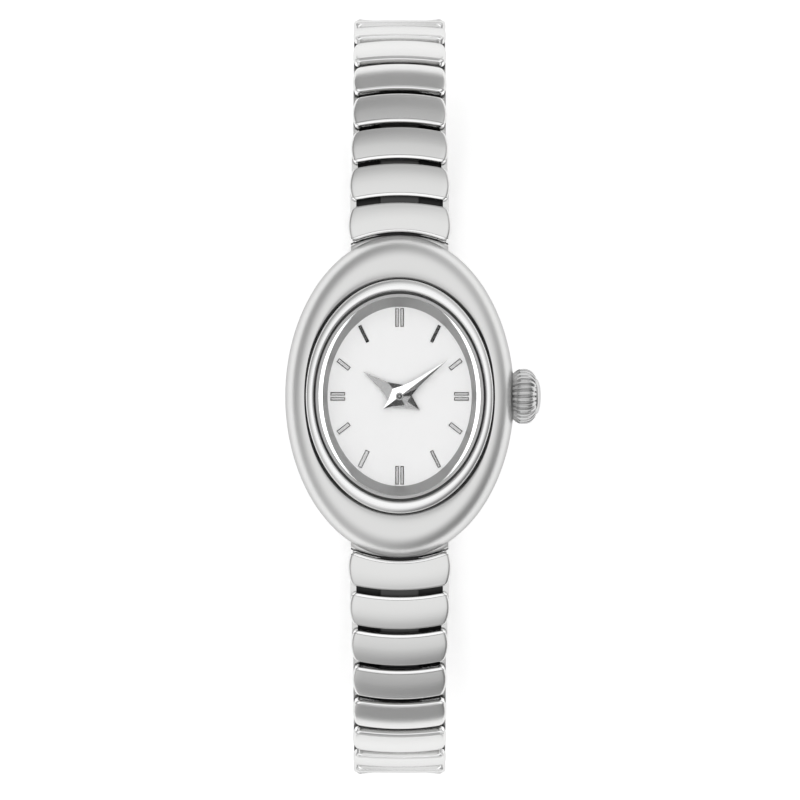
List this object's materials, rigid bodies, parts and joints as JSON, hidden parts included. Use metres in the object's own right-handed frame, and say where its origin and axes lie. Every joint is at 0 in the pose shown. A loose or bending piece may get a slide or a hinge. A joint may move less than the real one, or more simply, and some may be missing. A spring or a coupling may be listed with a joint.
{
  "type": "oval wristwatch",
  "caption": "Small oval dress watch: smooth domed steel case, white baton dial, faceted hands, fluted crown and a closed stretch bracelet of domed crescent links.",
  "frame": {"origin": "centre of the case back's outer flat face", "axes": "+Z is the way the dial faces, +Y points to twelve o'clock, +X points to the crown at three o'clock"},
  "size_m": [0.0236, 0.072, 0.0337],
  "materials": {
    "satin_steel": "satin blasted steel",
    "back_steel": "plain brushed steel",
    "polished_steel": "polished steel",
    "link_steel": "lightly satined polished steel",
    "crown_steel": "polished steel",
    "flange_steel": "satin grey steel",
    "marker_steel": "polished applied batons",
    "hand_steel": "polished faceted steel",
    "crystal_glass": "clear flat mineral glass",
    "white_lacquer": "smooth white lacquer",
    "black_rubber": "black nitrile",
    "grey_plastic": "moulded plastic",
    "movement_brass": "brass",
    "movement_nickel": "nickel plated plate",
    "green_board": "coated circuit board",
    "copper_wire": "wound copper wire",
    "magnet_grey": "plain magnet"
  },
  "bodies": {
    "case": {"case_body": "satin_steel", "case_back": "back_steel", "back_gasket": "black_rubber", "bezel": "polished_steel", "crystal": "crystal_glass", "inner_flange": "flange_steel", "dial": "white_lacquer", "hour_markers": "marker_steel", "crown_tube": "back_steel", "movement_ring": "grey_plastic", "main_plate": "movement_brass", "train_bridge": "movement_nickel", "movement_screws": "back_steel", "battery": "back_steel", "battery_clamp": "movement_nickel", "circuit_board": "green_board", "motor_coil": "copper_wire", "stator": "movement_nickel", "spring_bars": "back_steel", "end_connectors": "link_steel"},
    "minute_arbor": {"centre_wheel": "movement_brass", "minute_hand": "hand_steel"},
    "hour_arbor": {"hour_wheel": "movement_brass", "hour_hand": "hand_steel"},
    "minute_wheel_arbor": {"minute_wheel": "movement_brass"},
    "third_arbor": {"third_wheel": "movement_brass"},
    "step_arbor": {"step_wheel": "movement_brass"},
    "rotor_arbor": {"rotor": "magnet_grey"},
    "setting_arbor": {"setting_wheel": "movement_brass"},
    "crown_slider": {"crown_gasket": "black_rubber"},
    "crown_shaft": {"crown": "crown_steel", "stem": "back_steel"},
    "upper_link_1": {"upper_link_1": "link_steel"},
    "upper_link_2": {"upper_link_2": "link_steel"},
    "upper_link_3": {"upper_link_3": "link_steel"},
    "upper_link_4": {"upper_link_4": "link_steel"},
    "upper_link_5": {"upper_link_5": "link_steel"},
    "upper_link_6": {"upper_link_6": "link_steel"},
    "upper_link_7": {"upper_link_7": "link_steel"},
    "upper_link_8": {"upper_link_8": "link_steel"},
    "upper_link_pair_1": {"upper_link_pair_1": "link_steel"},
    "upper_link_pair_2": {"upper_link_pair_2": "link_steel"},
    "upper_link_pair_3": {"upper_link_pair_3": "link_steel"},
    "upper_link_pair_4": {"upper_link_pair_4": "link_steel"},
    "upper_link_pair_5": {"upper_link_pair_5": "link_steel"},
    "upper_link_pair_6": {"upper_link_pair_6": "link_steel"},
    "lower_link_1": {"lower_link_1": "link_steel"},
    "lower_link_2": {"lower_link_2": "link_steel"},
    "lower_link_3": {"lower_link_3": "link_steel"},
    "lower_link_4": {"lower_link_4": "link_steel"},
    "lower_link_5": {"lower_link_5": "link_steel"},
    "lower_link_6": {"lower_link_6": "link_steel"},
    "lower_link_7": {"lower_link_7": "link_steel"},
    "lower_link_8": {"lower_link_8": "link_steel"},
    "lower_link_pair_1": {"lower_link_pair_1": "link_steel"},
    "lower_link_pair_2": {"lower_link_pair_2": "link_steel"},
    "lower_link_pair_3": {"lower_link_pair_3": "link_steel"},
    "lower_link_pair_4": {"lower_link_pair_4": "link_steel"},
    "lower_link_pair_5": {"lower_link_pair_5": "link_steel"},
    "lower_link_pair_6": {"lower_link_pair_6": "link_steel"}
  },
  "joints": [
    {"name": "minute_hand_turn", "type": "hinge", "parent": "case", "child": "minute_arbor", "pos_m": [0, 0, 0.0049], "axis": [0, 0, -1], "continuous": true},
    {"name": "hour_hand_turn", "type": "hinge", "parent": "case", "child": "hour_arbor", "pos_m": [0, 0, 0.0045], "axis": [0, 0, -1], "continuous": true},
    {"name": "minute_wheel_turn", "type": "hinge", "parent": "case", "child": "minute_wheel_arbor", "pos_m": [0.001, -0.00173, 0.0034], "axis": [0, 0, -1], "continuous": true},
    {"name": "third_wheel_turn", "type": "hinge", "parent": "case", "child": "third_arbor", "pos_m": [-0.00138, 0.00197, 0.0017], "axis": [0, 0, -1], "continuous": true},
    {"name": "step_wheel_turn", "type": "hinge", "parent": "case", "child": "step_arbor", "pos_m": [-0.00175, 0.00409, 0.0017], "axis": [0, 0, -1], "continuous": true},
    {"name": "rotor_turn", "type": "hinge", "parent": "case", "child": "rotor_arbor", "pos_m": [-0.00077, 0.00579, 0.0017], "axis": [0, 0, -1], "continuous": true},
    {"name": "setting_wheel_turn", "type": "hinge", "parent": "case", "child": "setting_arbor", "pos_m": [0.00251, 0, 0.0034], "axis": [0, 0, -1], "continuous": true},
    {"name": "crown_pull", "type": "slide", "parent": "case", "child": "crown_slider", "axis": [1, 0, 0], "range_m": [0, 0.0008]},
    {"name": "crown_turn", "type": "hinge", "parent": "crown_slider", "child": "crown_shaft", "pos_m": [0.011, 0, 0.003], "axis": [1, 0, 0], "continuous": true},
    {"name": "bracelet_stretch", "type": "slide", "parent": "case", "child": "upper_link_1", "axis": [0, 0.9986, -0.0523], "range_m": [0, 0.00068995], "stiffness_N_per_m": 3000},
    {"name": "upper_link_2_stretch", "type": "slide", "parent": "upper_link_1", "child": "upper_link_2", "axis": [0, 0.9948, -0.1023], "range_m": [0, 0.00069176]},
    {"name": "upper_link_3_stretch", "type": "slide", "parent": "upper_link_2", "child": "upper_link_3", "axis": [0, 0.9763, -0.2166], "range_m": [0, 0.0006938]},
    {"name": "upper_link_4_stretch", "type": "slide", "parent": "upper_link_3", "child": "upper_link_4", "axis": [0, 0.9339, -0.3575], "range_m": [0, 0.00069848]},
    {"name": "upper_link_5_stretch", "type": "slide", "parent": "upper_link_4", "child": "upper_link_5", "axis": [0, 0.8556, -0.5177], "range_m": [0, 0.00070713]},
    {"name": "upper_link_6_stretch", "type": "slide", "parent": "upper_link_5", "child": "upper_link_6", "axis": [0, 0.7289, -0.6846], "range_m": [0, 0.00072111]},
    {"name": "upper_link_7_stretch", "type": "slide", "parent": "upper_link_6", "child": "upper_link_7", "axis": [0, 0.5442, -0.8389], "range_m": [0, 0.00074151]},
    {"name": "upper_link_8_stretch", "type": "slide", "parent": "upper_link_7", "child": "upper_link_8", "axis": [0, 0.2983, -0.9545], "range_m": [0, 0.00076866]},
    {"name": "upper_link_pair_1_stretch", "type": "slide", "parent": "upper_link_8", "child": "upper_link_pair_1", "axis": [0, -0.0282, -0.9996], "range_m": [0, 0.00080472]},
    {"name": "upper_link_pair_2_stretch", "type": "slide", "parent": "upper_link_pair_1", "child": "upper_link_pair_2", "axis": [0, -0.6158, -0.7879], "range_m": [0, 0.0008696]},
    {"name": "upper_link_pair_3_stretch", "type": "slide", "parent": "upper_link_pair_2", "child": "upper_link_pair_3", "axis": [0, -0.8895, -0.4569], "range_m": [0, 0.00089982]},
    {"name": "upper_link_pair_4_stretch", "type": "slide", "parent": "upper_link_pair_3", "child": "upper_link_pair_4", "axis": [0, -0.9788, -0.205], "range_m": [0, 0.00090967]},
    {"name": "upper_link_pair_5_stretch", "type": "slide", "parent": "upper_link_pair_4", "child": "upper_link_pair_5", "axis": [0, -0.9979, -0.0646], "range_m": [0, 0.00091179]},
    {"name": "upper_link_pair_6_stretch", "type": "slide", "parent": "upper_link_pair_5", "child": "upper_link_pair_6", "axis": [0, -1, -0.0096], "range_m": [0, 0.00091201]},
    {"name": "lower_link_1_stretch", "type": "slide", "parent": "case", "child": "lower_link_1", "axis": [0, -0.9986, -0.0523], "range_m": [0, 0.00069133]},
    {"name": "lower_link_2_stretch", "type": "slide", "parent": "lower_link_1", "child": "lower_link_2", "axis": [0, -0.9948, -0.1023], "range_m": [0, 0.00069176]},
    {"name": "lower_link_3_stretch", "type": "slide", "parent": "lower_link_2", "child": "lower_link_3", "axis": [0, -0.9763, -0.2166], "range_m": [0, 0.0006938]},
    {"name": "lower_link_4_stretch", "type": "slide", "parent": "lower_link_3", "child": "lower_link_4", "axis": [0, -0.9339, -0.3575], "range_m": [0, 0.00069848]},
    {"name": "lower_link_5_stretch", "type": "slide", "parent": "lower_link_4", "child": "lower_link_5", "axis": [0, -0.8556, -0.5177], "range_m": [0, 0.00070713]},
    {"name": "lower_link_6_stretch", "type": "slide", "parent": "lower_link_5", "child": "lower_link_6", "axis": [0, -0.7289, -0.6846], "range_m": [0, 0.00072111]},
    {"name": "lower_link_7_stretch", "type": "slide", "parent": "lower_link_6", "child": "lower_link_7", "axis": [0, -0.5442, -0.8389], "range_m": [0, 0.00074151]},
    {"name": "lower_link_8_stretch", "type": "slide", "parent": "lower_link_7", "child": "lower_link_8", "axis": [0, -0.2983, -0.9545], "range_m": [0, 0.00076866]},
    {"name": "lower_link_pair_1_stretch", "type": "slide", "parent": "lower_link_8", "child": "lower_link_pair_1", "axis": [0, 0.0282, -0.9996], "range_m": [0, 0.00080472]},
    {"name": "lower_link_pair_2_stretch", "type": "slide", "parent": "lower_link_pair_1", "child": "lower_link_pair_2", "axis": [0, 0.6158, -0.7879], "range_m": [0, 0.0008696]},
    {"name": "lower_link_pair_3_stretch", "type": "slide", "parent": "lower_link_pair_2", "child": "lower_link_pair_3", "axis": [0, 0.8895, -0.4569], "range_m": [0, 0.00089982]},
    {"name": "lower_link_pair_4_stretch", "type": "slide", "parent": "lower_link_pair_3", "child": "lower_link_pair_4", "axis": [0, 0.9788, -0.205], "range_m": [0, 0.00090967]},
    {"name": "lower_link_pair_5_stretch", "type": "slide", "parent": "lower_link_pair_4", "child": "lower_link_pair_5", "axis": [0, 0.9979, -0.0646], "range_m": [0, 0.00091179]},
    {"name": "lower_link_pair_6_stretch", "type": "slide", "parent": "lower_link_pair_5", "child": "lower_link_pair_6", "axis": [0, 1, -0.0096], "range_m": [0, 0.00091201]}
  ],
  "couplings": [
    {"joint": "hour_hand_turn", "follows": "minute_hand_turn", "ratio": 0.083333},
    {"joint": "minute_wheel_turn", "follows": "minute_hand_turn", "ratio": -0.33333},
    {"joint": "setting_wheel_turn", "follows": "minute_hand_turn", "ratio": 0.625},
    {"joint": "third_wheel_turn", "follows": "minute_hand_turn", "ratio": -3},
    {"joint": "step_wheel_turn", "follows": "minute_hand_turn", "ratio": 15},
    {"joint": "rotor_turn", "follows": "minute_hand_turn", "ratio": -90},
    {"joint": "upper_link_2_stretch", "follows": "bracelet_stretch", "ratio": 1.0006},
    {"joint": "upper_link_3_stretch", "follows": "bracelet_stretch", "ratio": 1.0036},
    {"joint": "upper_link_4_stretch", "follows": "bracelet_stretch", "ratio": 1.0103},
    {"joint": "upper_link_5_stretch", "follows": "bracelet_stretch", "ratio": 1.0228},
    {"joint": "upper_link_6_stretch", "follows": "bracelet_stretch", "ratio": 1.0431},
    {"joint": "upper_link_7_stretch", "follows": "bracelet_stretch", "ratio": 1.0726},
    {"joint": "upper_link_8_stretch", "follows": "bracelet_stretch", "ratio": 1.1119},
    {"joint": "upper_link_pair_1_stretch", "follows": "bracelet_stretch", "ratio": 1.164},
    {"joint": "upper_link_pair_2_stretch", "follows": "bracelet_stretch", "ratio": 1.2579},
    {"joint": "upper_link_pair_3_stretch", "follows": "bracelet_stretch", "ratio": 1.3016},
    {"joint": "upper_link_pair_4_stretch", "follows": "bracelet_stretch", "ratio": 1.3158},
    {"joint": "upper_link_pair_5_stretch", "follows": "bracelet_stretch", "ratio": 1.3189},
    {"joint": "upper_link_pair_6_stretch", "follows": "bracelet_stretch", "ratio": 1.3192},
    {"joint": "lower_link_1_stretch", "follows": "bracelet_stretch", "ratio": 1},
    {"joint": "lower_link_2_stretch", "follows": "bracelet_stretch", "ratio": 1.0006},
    {"joint": "lower_link_3_stretch", "follows": "bracelet_stretch", "ratio": 1.0036},
    {"joint": "lower_link_4_stretch", "follows": "bracelet_stretch", "ratio": 1.0103},
    {"joint": "lower_link_5_stretch", "follows": "bracelet_stretch", "ratio": 1.0228},
    {"joint": "lower_link_6_stretch", "follows": "bracelet_stretch", "ratio": 1.0431},
    {"joint": "lower_link_7_stretch", "follows": "bracelet_stretch", "ratio": 1.0726},
    {"joint": "lower_link_8_stretch", "follows": "bracelet_stretch", "ratio": 1.1119},
    {"joint": "lower_link_pair_1_stretch", "follows": "bracelet_stretch", "ratio": 1.164},
    {"joint": "lower_link_pair_2_stretch", "follows": "bracelet_stretch", "ratio": 1.2579},
    {"joint": "lower_link_pair_3_stretch", "follows": "bracelet_stretch", "ratio": 1.3016},
    {"joint": "lower_link_pair_4_stretch", "follows": "bracelet_stretch", "ratio": 1.3158},
    {"joint": "lower_link_pair_5_stretch", "follows": "bracelet_stretch", "ratio": 1.3189},
    {"joint": "lower_link_pair_6_stretch", "follows": "bracelet_stretch", "ratio": 1.3192}
  ]
}
